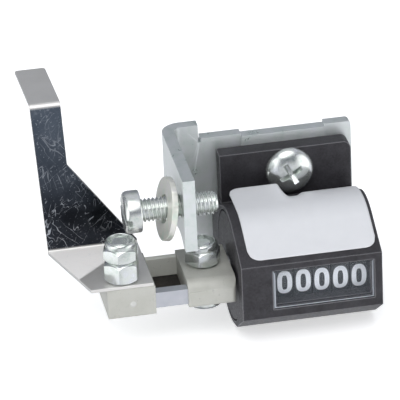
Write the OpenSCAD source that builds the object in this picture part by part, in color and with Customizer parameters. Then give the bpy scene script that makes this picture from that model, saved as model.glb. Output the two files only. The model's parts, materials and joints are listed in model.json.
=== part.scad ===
// Lever-operated mechanical counter on a bent steel bracket.
// Frame: origin at the tapped hole in the bracket's side plate, on its outer face.
// The modules are drawn from the input shaft's axis at the left end of the body, then placed.
// +X runs right along the shaft, +Y runs from the window to the bracket, +Z is up.

/* [Counter body] */
// Length of the counter body along the shaft
body_len = 35; // [35:0.5:38]
// Radius of the round barrel of the body
body_r = 14.8; // [14.5:0.1:15]
// Distance from the shaft's axis to the flat window face
front_y = 17.3; // [17:0.1:18]
// Height of the upper crease of the window face above the axis
face_top = 7.6; // [7.2:0.1:8]
// Depth of the lower crease of the window face below the axis
face_bottom = 6.8; // [6.2:0.1:7]
// Radius of the round cavity that holds the number wheels
cavity_r = 13.2; // [13.1:0.05:13.3]
// Height of the mounting flange above the axis
flange_top = 21.75; // [21.5:0.25:23]
// Thickness of the mounting flange
flange_t = 4.5; // [4:0.25:5]
// Distance from the axis to the front of the mounting flange
flange_y = 16.7; // [16.6:0.1:17.5]

/* [Window] */
// Left edge of the clear window
window_x = 7.7; // [7.6:0.1:8]
// Width of the clear window
window_w = 25.3; // [24.5:0.1:25.3]
// Lower edge of the clear window
window_z = -4.6; // [-4.8:0.1:-4.2]
// Height of the clear window
window_h = 10.5; // [9.5:0.1:10.8]
// Thickness of the clear window
window_t = 1.6; // [1.2:0.1:2]

/* [Number wheels] */
// Radius of a number wheel's rim
wheel_r = 12.8; // [12.4:0.1:12.9]
// Centre of the first number wheel
wheel_x = 11.45; // [11.4:0.05:11.6]
// Distance from one number wheel to the next
wheel_pitch = 4.65; // [4.55:0.01:4.66]
// Gap between two neighbouring number wheels
wheel_gap = 0.3; // [0.2:0.05:0.5]
// Outer radius of the fixed sleeve that the wheels turn on
sleeve_r = 2.9; // [2.8:0.05:3.2]
// Running clearance on the radius of every bearing
run = 0.05; // [0.03:0.01:0.08]

/* [Drive] */
// Radius of the input shaft where it leaves the body
shaft_r = 2.5; // [2.4:0.05:2.6]
// Radius of the input shaft inside the wheels
inner_r = 2; // [1.8:0.05:2.1]
// Number of teeth on the units ratchet
ratchet_teeth = 10; // [10:1:10]
// Tip radius of the ratchet's inward teeth
ratchet_tip = 9; // [8.9:0.05:9.2]

/* [Bracket] */
// Thickness of the bracket's steel
plate_t = 3; // [2.5:0.5:3]
// Height of the bracket's rear plate above the axis
plate_top = 24.8; // [24.4:0.2:25.6]
// Height of the bracket's side plate above the axis
side_top = 28.5; // [28:0.5:30]
// Outer face of the side plate, to the left of the body
side_x = 11.95; // [11.9:0.05:12.5]
// Outside radius of the bracket's bend
bend_r = 5; // [4.5:0.25:6]
// Radius of the round notch over the lever, about the shaft's axis
notch_r = 11.25; // [11.1:0.05:11.6]
// Front edge of the side plate, in front of the axis
side_front = 8.5; // [7.6:0.1:8.6]
// Lower edge of the wing and of the side plate behind the notch
wing_bottom = 9.4; // [9:0.2:9.4]

/* [Fasteners] */
// Thread radius of the flange screw
flange_screw_r = 3; // [3:0.5:3]
// Head radius of the flange screw
flange_head_r = 6; // [5.5:0.25:6]
// Thread radius of the frame screw
frame_screw_r = 3; // [2.8:0.1:3]
// Thread radius of the clamp bolt and the blade stud
m5_r = 2.5; // [2.4:0.05:2.5]
// Width across the flats of the hexagon nuts
nut_af = 8; // [7.8:0.1:8]
// Radius of the loose frame washer
washer_r = 7.9; // [7:0.1:7.9]
// Thickness of the loose frame washer
washer_t = 1.5; // [1.2:0.1:1.5]

/* [Lever] */
// Thickness of the lever's front arm bar
front_bar_t = 2.7; // [2.4:0.1:2.8]
// Height of the lever's front arm bar
front_bar_h = 4.1; // [3.8:0.1:4.4]
// Thickness of the lever's rear arm bar
rear_bar_t = 1.8; // [1.6:0.1:1.8]
// Height of the lever's rear arm bar
rear_bar_h = 4.9; // [4.4:0.1:5.2]
// Thickness of the blade's sheet
blade_t = 0.85; // [0.8:0.05:1]
// Height of the blade's lip above the axis
blade_top = 44.75; // [42.25:0.25:46]
// Rear end of the blade's lip
lip_end = 30.9; // [26.4:0.5:30.9]

/* [Hidden] */

black = [0.10, 0.10, 0.11];
zinc = [0.74, 0.77, 0.79];
cast = [0.76, 0.76, 0.72];
steel = [0.80, 0.81, 0.83];

// Depth of the cap seats at both ends of the body, and their radius
cap_t = 2;
cap_r = 13.95;
// Back face of the flange, which is the front of the bracket's pressed pad
pad_y = flange_y + flange_t;
// The rear plate stands half a millimetre further back than the pad
plate_y = pad_y + 0.5;
// Screw centres
flange_screw_x = 19.15;
flange_screw_z = 15.9;
frame_y = -2.3;
frame_z = 19;
clamp_x = -7;
clamp_y = -3.4;
stud_x = -28.05;
stud_y = -9.3;
// Lever blocks
clamp_l = -12.6;
clamp_rt = -0.7;
clamp_front = -14;
rear_y = 4.7;
clamp_top = 3.5;
clamp_bot = -3.2;
end_l = -32.4;
end_rt = -20.6;
end_front = -13.3;
end_h = 3.85;
end_bot = -4.1;
bar_in = 1.2;
bar_z = -2.35;
bar_front = -13.2;
sheet_z = end_h + blade_t;

// Moves the shaft-based geometry to the origin on the side plate's screw hole
module placed() { translate([side_x, -frame_y, -frame_z]) children(); }
// Extrudes a Y-Z outline along +X from x0 to x1
module along_x(x0, x1) {
    translate([x0, 0, 0]) rotate([90, 0, 90]) linear_extrude(height = x1 - x0) children();
}
// Turns an outline of radius against length about the X axis
module about_x() {
    rotate([0, 90, 0]) rotate_extrude($fn = 96) children();
}
// Round bar along X
module rod_x(r, x0, x1) {
    translate([x0, 0, 0]) rotate([0, 90, 0]) cylinder(r = r, h = x1 - x0, $fn = 72);
}
// Hexagon nut along Z on z = 0, with turned corners at its top and foot
module hex_nut(af, h, bore, turn, both = true) {
    rc = af / 2 / cos(30);
    difference() {
        intersection() {
            rotate([0, 0, turn]) cylinder(r = rc, h = h, $fn = 6);
            rotate_extrude($fn = 72) polygon([[0, 0], [af / 2 - 0.15, 0], [rc + 0.05, 0.5],
                [rc + 0.05, both ? h - 0.5 : h], [both ? af / 2 - 0.15 : rc + 0.05, h], [0, h]]);
        }
        translate([0, 0, -1]) cylinder(r = bore, h = h + 2, $fn = 48);
    }
}
// Lock nut along Z on z = 0: a low hexagon with a rounded collar on top
module lock_nut(af, h, bore, turn) {
    rc = af / 2 / cos(30);
    difference() {
        union() {
            intersection() {
                rotate([0, 0, turn]) cylinder(r = rc, h = h * 0.72, $fn = 6);
                rotate_extrude($fn = 72) polygon([[0, 0], [af / 2 - 0.15, 0], [rc + 0.05, 0.5],
                    [rc + 0.05, h * 0.72 - 0.45], [af / 2 - 0.1, h * 0.72], [0, h * 0.72]]);
            }
            rotate_extrude($fn = 72) polygon([[0, h * 0.6], [af / 2 - 0.1, h * 0.6],
                [af / 2 - 0.15, h - 1.35], [af / 2 - 0.35, h - 0.75], [af / 2 - 0.7, h - 0.28],
                [af / 2 - 1.15, h], [0, h]]);
        }
        translate([0, 0, -1]) cylinder(r = bore, h = h + 2, $fn = 48);
        translate([0, 0, h - 0.9]) cylinder(r = bore + 0.2, h = 1.2, $fn = 48);
    }
}

// Outer outline of the counter body without its flange, in Y and Z
module body_outline() {
    circle(r = body_r, $fn = 120);
    polygon([[0, 0], [-body_r * 0.452, body_r * 0.892], [-front_y, face_top],
        [-front_y, -face_bottom], [-8.3, -13.1], [-body_r * 0.221, -body_r * 0.975]]);
    polygon([[0, 0], [body_r * 0.396, -body_r * 0.918], [flange_y, -8.7], [pad_y, -8.7],
        [pad_y, 8.7], [flange_y, 8.7], [body_r * 0.396, body_r * 0.918]]);
}

module housing() {
    color(black) placed() difference() {
        union() {
            along_x(0, body_len) body_outline();
            // mounting flange with its rounded outer top corner
            difference() {
                translate([1.6, flange_y, 0]) cube([body_len - 1.6, flange_t, flange_top]);
                translate([body_len - 2, flange_y - 1, flange_top - 2]) difference() {
                    cube([4, flange_t + 2, 4]);
                    translate([0, -1, 0]) rotate([-90, 0, 0]) cylinder(r = 2, h = flange_t + 4, $fn = 64);
                }
            }
        }
        rod_x(cavity_r, -1, body_len + 1);
        rod_x(cap_r, -1, cap_t);
        rod_x(cap_r, body_len - cap_t, body_len + 1);
        // window seat and the opening behind it
        translate([window_x, -front_y - 1, window_z]) cube([window_w, window_t + 1, window_h]);
        translate([window_x + 0.6, -front_y, window_z + 0.6]) cube([window_w - 1.2, 8, window_h - 1.2]);
        // flange screw hole
        translate([flange_screw_x, flange_y - 1, flange_screw_z]) rotate([-90, 0, 0])
            cylinder(r = flange_screw_r + 0.25, h = flange_t + 2, $fn = 64);
    }
}

// Left end cap: visible disc with a dark groove around it, and the shaft's outer bearing
module left_cap() {
    color(black) placed() difference() {
        about_x() polygon([[0, 0], [0, cap_t + 1.6], [4.6, cap_t + 1.6], [5, cap_t],
            [cap_r, cap_t], [cap_r, 0.9], [cap_r - 0.35, 0.9], [cap_r - 0.35, 0.15], [cap_r - 0.5, 0]]);
        rod_x(shaft_r + run, -1, cap_t + 3);
    }
}

// Right end cap with the blind bearing of the shaft's inner end
module right_cap() {
    x0 = body_len - cap_t;
    color(black) placed() difference() {
        union() {
            rod_x(cap_r, x0, body_len);
        }
        rod_x(inner_r + run, x0 - 1, body_len - 0.6);
    }
}

// Inner plate that carries the fixed sleeve and closes off the spring chamber
module bearing_plate() {
    color([0.25, 0.25, 0.27]) placed() difference() {
        rod_x(cavity_r, 7.2, 8.4);
        rod_x(sleeve_r, 6, 9);
        for (a = [45:90:315]) rotate([a, 0, 0]) translate([0, 8.6, 0]) rod_x(1.6, 7, 9);
    }
}

// Fixed brass sleeve: the wheels turn on it and the shaft turns in it
module wheel_sleeve() {
    color([0.80, 0.66, 0.36]) placed() difference() {
        rod_x(sleeve_r, 7.2, 29);
        rod_x(inner_r + run, 7, 30);
    }
}

// Clear window with bevelled front edges
module window_lens() {
    b = 0.6;
    color([0.8, 0.86, 0.9, 0.35]) placed() intersection() {
        translate([0, 0, window_z]) linear_extrude(height = window_h) polygon([
            [window_x, -front_y + b], [window_x + b, -front_y], [window_x + window_w - b, -front_y],
            [window_x + window_w, -front_y + b], [window_x + window_w, -front_y + window_t],
            [window_x, -front_y + window_t]]);
        along_x(window_x, window_x + window_w) polygon([
            [-front_y + b, window_z], [-front_y, window_z + b], [-front_y, window_z + window_h - b],
            [-front_y + b, window_z + window_h], [-front_y + window_t, window_z + window_h],
            [-front_y + window_t, window_z]]);
    }
}

// Thin white sheet that follows the barrel and the sloping front
module label() {
    t = 0.15;
    color([0.95, 0.95, 0.96]) placed() intersection() {
        difference() {
            along_x(2.4, 34.2) intersection() {
                union() {
                    circle(r = body_r + t, $fn = 120);
                    polygon([[0, 0], [-(body_r + t) * 0.452, (body_r + t) * 0.892],
                        [-15.75, 8.39 + t * 1.1], [-15.75 - t * 0.45, 8.39 + t * 0.2], [-15, 0]]);
                }
                polygon([[0, 0], [-15.95, 8.2], [-15.95, 20], [10, 20]]);
            }
            along_x(0, 40) body_outline();
        }
        // rounded corners, seen from above
        translate([2.4, -17, 0]) linear_extrude(height = 20) {
            translate([0, 4.2]) square([31.8, 30]);
            translate([3, 0]) square([25.8, 6]);
            translate([3, 4.2]) circle(r = 3, $fn = 64);
            translate([28.8, 4.2]) circle(r = 3, $fn = 64);
        }
    }
}

// Number wheel: rim, web with lightening holes, and a hub that turns on the sleeve
module number_wheel(i) {
    w = wheel_pitch - wheel_gap;
    x0 = wheel_x + (i - 1) * wheel_pitch - w / 2;
    hub = i == 5 ? 1.15 : w;
    color(black) placed() difference() {
        union() {
            difference() {
                rod_x(wheel_r, x0, x0 + w);
                rod_x(wheel_r - 1.6, x0 + 1.15, x0 + w + 1);
            }
            rod_x(4.6, x0, x0 + hub);
        }
        rod_x(sleeve_r + run, x0 - 1, x0 + w + 1);
        for (a = [0:72:288]) rotate([a + 18, 0, 0]) translate([0, 7.9, 0]) rod_x(1.3, x0 - 1, x0 + 2);
    }
}

module number_wheel_1() { number_wheel(1); }
module number_wheel_2() { number_wheel(2); }
module number_wheel_3() { number_wheel(3); }
module number_wheel_4() { number_wheel(4); }
module number_wheel_5() { number_wheel(5); }

// Ring with inward saw teeth, one for each digit, pressed into the units wheel
module units_ratchet() {
    n = ratchet_teeth;
    color([0.80, 0.66, 0.36]) placed() difference() {
        rod_x(wheel_r - 1.6, 29.4, 31.8);
        along_x(29, 32) polygon([for (k = [0:n - 1]) for (j = [0:3])
            let (a = (k + (j == 0 ? 0 : j == 1 ? 0.06 : j == 2 ? 0.5 : 0.96)) * 360 / n,
                 r = j == 0 ? ratchet_tip : j == 1 ? 10.5 : j == 2 ? 9.95 : ratchet_tip)
            [r * cos(a), r * sin(a)]]);
    }
}

// Bent steel bracket: rear plate with a pressed pad, bent wing and notched side plate
module bracket() {
    x_wing = -2.6;
    x_in = bend_r - side_x;
    y_back = plate_y + plate_t;
    pad_l = 8.2;
    pad_w = 21.3;
    color(zinc) placed() difference() {
        union() {
            // rear plate, right of the wing, with a rounded top corner
            difference() {
                translate([x_wing, plate_y, -8.7]) cube([36.2 - x_wing, plate_t, plate_top + 8.7]);
                translate([35.2, plate_y - 1, plate_top - 1]) difference() {
                    cube([3, plate_t + 2, 3]);
                    translate([0, -1, 0]) rotate([-90, 0, 0]) cylinder(r = 1, h = plate_t + 4, $fn = 64);
                }
                translate([pad_l, plate_y - 1, -10]) cube([pad_w, plate_t + 2, 60]);
            }
            // rear plate below the wing
            translate([-5.2, plate_y, -8.7]) cube([5.2 + x_wing, plate_t, wing_bottom + 8.7]);
            // pressed pad that the body's flange seats on
            translate([pad_l, pad_y, -8.7]) cube([pad_w, plate_t, plate_top + 8.2]);
            // wing
            translate([x_in, plate_y, wing_bottom]) cube([x_wing - x_in, plate_t, side_top - wing_bottom]);
            // bend
            intersection() {
                translate([x_in, y_back - bend_r, wing_bottom]) difference() {
                    cylinder(r = bend_r, h = side_top - wing_bottom, $fn = 96);
                    translate([0, 0, -1]) cylinder(r = bend_r - plate_t, h = 60, $fn = 96);
                }
                translate([-side_x - 1, y_back - bend_r, 0]) cube([bend_r + 1, bend_r + 1, 60]);
            }
            // side plate with the round notch over the lever
            difference() {
                translate([-side_x, -side_front, wing_bottom])
                    cube([plate_t, y_back - bend_r + side_front, side_top - wing_bottom]);
                rod_x(notch_r, -side_x - 1, -side_x + plate_t + 1);
            }
        }
        // relief beside the wing's step
        translate([x_wing + 0.2, plate_y - 1, plate_top - 0.9]) rotate([-90, 0, 0])
            cylinder(r = 0.4, h = plate_t + 2, $fn = 48);
        translate([x_wing, plate_y - 1, plate_top - 0.9]) cube([0.6, plate_t + 2, 2]);
        // tapped holes
        translate([flange_screw_x, pad_y - 1, flange_screw_z]) rotate([-90, 0, 0])
            cylinder(r = flange_screw_r, h = plate_t + 2, $fn = 64);
        translate([0, frame_y, frame_z]) rod_x(frame_screw_r, -side_x - 1, -side_x + plate_t + 1);
    }
}

// Domed screw with a large cross recess that holds the body on the bracket
module flange_screw() {
    h = 3.4;
    r = flange_head_r;
    color(zinc) placed() translate([flange_screw_x, flange_y, flange_screw_z]) rotate([90, 0, 0]) difference() {
        union() {
            rotate_extrude($fn = 72) polygon([[0, 0], [r, 0], [r, 0.55], [r - 0.2, 1.15], [r - 0.7, 1.8],
                [r - 1.4, 2.35], [r - 2.2, 2.8], [r - 3, 3.1], [r - 4, 3.32], [0, h]]);
            translate([0, 0, -flange_t - plate_t + 0.3])
                cylinder(r = flange_screw_r, h = flange_t + plate_t, $fn = 64);
        }
        rotate([0, 0, 28]) for (a = [0, 90]) rotate([0, 0, a])
            translate([-3.1, -0.6, h - 1.9]) cube([6.2, 1.2, 4]);
        translate([0, 0, h - 2.2]) cylinder(r1 = 0.9, r2 = 2.1, h = 2.3, $fn = 48);
    }
}

// Slotted screw that clamps the side plate to a frame
module frame_screw() {
    r = 5.3;
    t = frame_screw_r;
    color(zinc) placed() translate([0, frame_y, frame_z]) difference() {
        union() {
            about_x() polygon([[0, -25.95], [r - 1.15, -25.95], [r - 0.8, -25.85], [r - 0.4, -25.6],
                [r - 0.15, -25.2], [r, -24.5], [r, -22.1], [r - 0.2, -21.85], [0, -21.85]]);
            about_x() polygon([[0, -21.85], [t, -21.85], [t, -3.1], [t - 0.6, -2.5], [0, -2.5]]);
        }
        rotate([8, 0, 0]) translate([-26.5, -7, -0.8]) cube([2.05, 14, 1.6]);
    }
}

// Large loose washer that hangs on the frame screw, leaning on its thread
module frame_washer() {
    color(zinc) placed() translate([-15.2, frame_y, frame_z - 0.32]) rotate([0, 100.2, 4.1])
        translate([0, 0, -washer_t / 2]) difference() {
            cylinder(r = washer_r, h = washer_t, $fn = 96);
            translate([0, 0, -1]) cylinder(r = frame_screw_r + 0.55, h = washer_t + 2, $fn = 64);
        }
}

// Input shaft: its outer end has a flat that the clamp bolt wedges against
module drive_shaft() {
    color(steel) placed() difference() {
        union() {
            rod_x(shaft_r, -11.6, 2.2);
            rod_x(inner_r, 2.2, body_len - 0.9);
        }
        translate([-12, -5, -5]) cube([11.2, 4.15, 10]);
    }
}

// Collar pressed on the shaft that holds the return spring's moving leg
module spring_collar() {
    color(steel) placed() difference() {
        rod_x(4.2, 5.5, 6.8);
        rod_x(inner_r, 5, 7);
    }
}

// Return spring, coiled around the shaft in the chamber behind the left cap
module return_spring() {
    color([0.6, 0.61, 0.63]) placed() {
        for (k = [0:1]) translate([4.1 + k * 0.8, 0, 0]) rotate([0, 90, 0])
            rotate_extrude($fn = 72) translate([3.4, 0]) circle(r = 0.41, $fn = 24);
        translate([0, 3.4, 0]) rotate([0, 0, 0]) translate([4.1, 0, 0]) rotate([0, 0, 0])
            cylinder(r = 0.35, h = 6, $fn = 24);
    }
}

// Arm pressed on the shaft inside the units wheel
module drive_arm() {
    color(steel) placed() difference() {
        union() {
            rod_x(4, 29.4, 30.4);
            along_x(29.4, 30.4) polygon([[0, 3.4], [-6.2, 1.5], [-6.2, -1.5], [0, -3.4]]);
            translate([0, -6.2, 0]) rod_x(1.5, 29.4, 30.4);
        }
        rod_x(inner_r, 29, 31);
        translate([0, -6.2, 0]) rod_x(0.6, 29, 31);
    }
}

// Headed pin in the drive arm
module pawl_pin() {
    color(steel) placed() translate([0, -6.2, 0]) {
        rod_x(0.6, 29.4, 32.2);
        rod_x(1.1, 32.2, 32.6);
    }
}

// Pawl, held just clear of the ratchet's teeth at rest
module drive_pawl() {
    color(steel) placed() difference() {
        union() {
            translate([0, -6.2, 0]) rod_x(1.3, 30.7, 31.9);
            along_x(30.7, 31.9) polygon([[-7.4, 0.2], [-7.45, -4.3], [-6.9, -5.1], [-6.1, -4.6], [-5, -0.2]]);
        }
        translate([0, -6.2, 0]) rod_x(0.6 + run, 30, 32);
    }
}

// Cast block on the shaft, with a rounded upper front edge
module clamp_block() {
    r = 3.2;
    color(cast) placed() difference() {
        intersection() {
            along_x(clamp_l, clamp_rt) union() {
                translate([clamp_front + r, clamp_bot]) square([rear_y - clamp_front - r, clamp_top - clamp_bot]);
                translate([clamp_front, clamp_bot + 0.8]) square([4, clamp_top - r - clamp_bot - 0.8]);
                translate([clamp_front + r, clamp_top - r]) circle(r = r, $fn = 64);
                translate([clamp_front + 0.8, clamp_bot + 0.8]) circle(r = 0.8, $fn = 32);
                translate([clamp_front + 0.8, clamp_bot]) square([3, 2]);
            }
            // rounded upright edges at the front
            translate([0, 0, -15]) linear_extrude(height = 30) {
                translate([clamp_l, clamp_front + 1.2]) square([clamp_rt - clamp_l, rear_y - clamp_front]);
                translate([clamp_l + 0.5, clamp_front]) square([clamp_rt - clamp_l - 1.7, 4]);
                translate([clamp_rt - 1.2, clamp_front + 1.2]) circle(r = 1.2, $fn = 48);
                translate([clamp_l + 0.5, clamp_front + 0.5]) circle(r = 0.5, $fn = 32);
                translate([clamp_l, clamp_front + 0.5]) square([2, 4]);
            }
        }
        rod_x(shaft_r, -11.6, 0);
        translate([clamp_x, clamp_y, -10]) cylinder(r = m5_r + 0.05, h = 20, $fn = 64);
        // bar pockets
        translate([clamp_l - 1, bar_front, bar_z]) cube([1 + bar_in, front_bar_t, front_bar_h]);
        translate([clamp_l - 1, rear_y - rear_bar_t, bar_z]) cube([1 + bar_in, rear_bar_t + 1, rear_bar_h]);
    }
}

// Clamp bolt, entered from below, with a round head
module clamp_bolt() {
    r = 4.45;
    color(zinc) placed() translate([clamp_x, clamp_y, 0]) difference() {
        union() {
            rotate_extrude($fn = 72) polygon([[0, clamp_bot - 4.6], [r - 1.1, clamp_bot - 4.6],
                [r - 0.3, clamp_bot - 4.2], [r, clamp_bot - 3.4], [r, clamp_bot], [0, clamp_bot]]);
            rotate_extrude($fn = 72) polygon([[0, clamp_bot], [m5_r, clamp_bot], [m5_r, clamp_top + 5],
                [m5_r - 0.5, clamp_top + 5.5], [0, clamp_top + 5.5]]);
        }
        translate([0, 0, clamp_bot - 5]) cylinder(r = 2.3, h = 2.6, $fn = 6);
    }
}

module clamp_nut() {
    color(zinc) placed() translate([clamp_x, clamp_y, clamp_top]) lock_nut(nut_af, 6, m5_r, 70);
}

module arm_bar(y0, t, h) {
    placed() translate([end_rt - bar_in, y0, bar_z])
        cube([clamp_l - end_rt + 2 * bar_in, t, h]);
}
// Flat bars that join the two blocks
module arm_bar_front() { color(zinc) arm_bar(bar_front, front_bar_t, front_bar_h); }
module arm_bar_rear() { color(cast) arm_bar(rear_y - rear_bar_t, rear_bar_t, rear_bar_h); }

// Black strip under the two bars, between the blocks
module arm_strip() {
    color([0.12, 0.11, 0.11]) placed() translate([end_rt, -9.4, bar_z - 0.75])
        cube([clamp_l - end_rt, 9.4 + rear_y, 0.75]);
}

// Cast block that carries the blade
module end_block() {
    color(cast) placed() difference() {
        along_x(end_l, end_rt) union() {
            translate([end_front, end_bot + 0.7]) square([rear_y - end_front, end_h - end_bot - 0.7]);
            translate([end_front + 0.7, end_bot]) square([rear_y - end_front - 0.7, 3]);
            translate([end_front + 0.7, end_bot + 0.7]) circle(r = 0.7, $fn = 32);
        }
        translate([stud_x, stud_y, -10]) cylinder(r = m5_r, h = 20, $fn = 64);
        translate([end_rt - bar_in, bar_front, bar_z]) cube([1 + bar_in, front_bar_t, front_bar_h]);
        translate([end_rt - bar_in, rear_y - rear_bar_t, bar_z]) cube([1 + bar_in, rear_bar_t + 1, rear_bar_h]);
    }
}

// Polished sheet blade: foot, upright that narrows to a tongue, and a rear lip
module blade() {
    ri = 0.5;
    yb = 9.6;
    zl = blade_top - blade_t;
    color(steel) placed() difference() {
        union() {
            // foot
            translate([0, 0, end_h]) linear_extrude(height = blade_t)
                polygon([[-43.5, yb - ri], [-38.3, -7.1], [-36.3, end_front], [-20.9, end_front],
                    [-21.1, yb - ri]]);
            // lower bend
            intersection() {
                translate([0, yb - ri, sheet_z + ri]) difference() {
                    rod_x(ri + blade_t, -43.5, -21.1);
                    rod_x(ri, -50, 0);
                }
                translate([-60, yb - ri, 0]) cube([60, 10, sheet_z + ri]);
            }
            // upright
            translate([0, yb + blade_t, 0]) rotate([90, 0, 0]) linear_extrude(height = blade_t)
                polygon([[-43.5, sheet_z + ri], [-21.1, sheet_z + ri], [-37.35, 27.9], [-38.05, zl - ri],
                    [-45.7, zl - ri]]);
            // upper bend
            intersection() {
                translate([0, yb + blade_t + ri, zl - ri]) difference() {
                    rod_x(ri + blade_t, -45.7, -38.05);
                    rod_x(ri, -50, 0);
                }
                translate([-60, yb - 1, zl - ri]) cube([60, 1 + blade_t + ri, 10]);
            }
            // lip
            translate([0, 0, zl]) linear_extrude(height = blade_t)
                polygon([[-45.7, yb + blade_t + ri], [-38.05, yb + blade_t + ri], [-38.7, lip_end - 0.4],
                    [-39.1, lip_end], [-45.95, lip_end], [-46.3, lip_end - 0.35]]);
        }
        translate([stud_x, stud_y, 0]) cylinder(r = m5_r + 0.1, h = 10, $fn = 64);
    }
}

module blade_stud() {
    color(zinc) placed() translate([stud_x, stud_y, 0]) rotate_extrude($fn = 72)
        polygon([[0, end_bot], [m5_r, end_bot], [m5_r, sheet_z + 9.9], [m5_r - 0.5, sheet_z + 10.4], [0, sheet_z + 10.4]]);
}
module blade_nut() {
    color(zinc) placed() translate([stud_x, stud_y, sheet_z]) hex_nut(nut_af, 5.5, m5_r, 74);
}
module blade_locknut() {
    color(zinc) placed() translate([stud_x, stud_y, sheet_z + 5.5]) lock_nut(nut_af, 5.4, m5_r, 73);
}

housing();
left_cap();
right_cap();
bearing_plate();
wheel_sleeve();
window_lens();
label();
number_wheel_1();
number_wheel_2();
number_wheel_3();
number_wheel_4();
number_wheel_5();
units_ratchet();
bracket();
flange_screw();
frame_screw();
frame_washer();
drive_shaft();
spring_collar();
return_spring();
drive_arm();
pawl_pin();
drive_pawl();
clamp_block();
clamp_bolt();
clamp_nut();
arm_bar_front();
arm_bar_rear();
arm_strip();
end_block();
blade();
blade_stud();
blade_nut();
blade_locknut();
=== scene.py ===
import json
import math

import bmesh
import bpy
from mathutils import Matrix, Vector


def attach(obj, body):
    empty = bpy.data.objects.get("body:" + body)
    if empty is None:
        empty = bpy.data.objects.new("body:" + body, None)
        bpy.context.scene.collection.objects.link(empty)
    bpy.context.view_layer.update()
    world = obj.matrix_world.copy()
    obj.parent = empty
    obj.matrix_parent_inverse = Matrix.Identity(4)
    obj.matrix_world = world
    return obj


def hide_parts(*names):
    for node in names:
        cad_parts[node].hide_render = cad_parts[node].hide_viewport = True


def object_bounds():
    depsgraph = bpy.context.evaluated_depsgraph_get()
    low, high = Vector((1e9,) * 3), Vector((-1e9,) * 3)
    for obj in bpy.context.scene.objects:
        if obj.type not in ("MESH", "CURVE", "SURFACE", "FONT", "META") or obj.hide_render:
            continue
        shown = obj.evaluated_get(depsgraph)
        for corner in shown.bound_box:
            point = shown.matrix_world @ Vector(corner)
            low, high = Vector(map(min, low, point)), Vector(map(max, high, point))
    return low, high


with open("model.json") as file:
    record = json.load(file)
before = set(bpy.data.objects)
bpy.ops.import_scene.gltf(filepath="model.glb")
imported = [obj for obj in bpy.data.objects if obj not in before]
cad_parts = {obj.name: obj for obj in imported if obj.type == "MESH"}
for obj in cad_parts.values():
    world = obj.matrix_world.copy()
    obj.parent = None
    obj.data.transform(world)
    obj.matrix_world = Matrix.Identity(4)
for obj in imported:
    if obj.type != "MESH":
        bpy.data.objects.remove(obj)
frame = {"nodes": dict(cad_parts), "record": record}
NODES = frame["nodes"]
CAD_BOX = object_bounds()
MM = 0.001
# the geometry below is worked out from the counter's shaft; this is its place in the row's frame
OFF = Vector((11.95, 2.3, -19.0))


def P(x, y, z):
    return (Vector((x, y, z)) + OFF) * MM


# ---------------------------------------------------------------- materials
def new_mat(name):
    m = bpy.data.materials.new(name)
    m.use_nodes = True
    nt = m.node_tree
    nt.nodes.clear()
    out = nt.nodes.new("ShaderNodeOutputMaterial")
    bs = nt.nodes.new("ShaderNodeBsdfPrincipled")
    nt.links.new(bs.outputs["BSDF"], out.inputs["Surface"])
    co = nt.nodes.new("ShaderNodeTexCoord")
    return m, nt, bs, co, out


def noise(nt, co, scale, detail=4.0, rough=0.55, stretch=None):
    n = nt.nodes.new("ShaderNodeTexNoise")
    n.inputs["Scale"].default_value = scale
    n.inputs["Detail"].default_value = detail
    n.inputs["Roughness"].default_value = rough
    if stretch is not None:
        mp = nt.nodes.new("ShaderNodeMapping")
        mp.inputs["Scale"].default_value = stretch
        nt.links.new(co.outputs["Object"], mp.inputs["Vector"])
        nt.links.new(mp.outputs["Vector"], n.inputs["Vector"])
    else:
        nt.links.new(co.outputs["Object"], n.inputs["Vector"])
    return n


def ramp(nt, src, stops):
    r = nt.nodes.new("ShaderNodeValToRGB")
    el = r.color_ramp.elements
    while len(el) > 1:
        el.remove(el[-1])
    el[0].position = stops[0][0]
    el[0].color = (*stops[0][1], 1.0)
    for p, c in stops[1:]:
        e = el.new(p)
        e.color = (*c, 1.0)
    nt.links.new(src, r.inputs["Fac"])
    return r


def span(nt, src, lo, hi, a, b):
    r = nt.nodes.new("ShaderNodeMapRange")
    r.inputs["From Min"].default_value = lo
    r.inputs["From Max"].default_value = hi
    r.inputs["To Min"].default_value = a
    r.inputs["To Max"].default_value = b
    nt.links.new(src, r.inputs["Value"])
    return r


def bump(nt, bs, src, strength, dist):
    b = nt.nodes.new("ShaderNodeBump")
    b.inputs["Strength"].default_value = strength
    b.inputs["Distance"].default_value = dist
    nt.links.new(src, b.inputs["Height"])
    nt.links.new(b.outputs["Normal"], bs.inputs["Normal"])
    return b


def joined(nt, op, a, b=None, val=None):
    n = nt.nodes.new("ShaderNodeMath")
    n.operation = op
    nt.links.new(a, n.inputs[0])
    if b is not None:
        nt.links.new(b, n.inputs[1])
    else:
        n.inputs[1].default_value = val
    return n.outputs["Value"]


def blend(nt, fac, a, b):
    n = nt.nodes.new("ShaderNodeMix")
    n.data_type = "RGBA"
    nt.links.new(fac, n.inputs["Factor"])
    nt.links.new(a, n.inputs["A"])
    if isinstance(b, tuple):
        n.inputs["B"].default_value = (*b, 1.0)
    else:
        nt.links.new(b, n.inputs["B"])
    return n.outputs["Result"]


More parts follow.
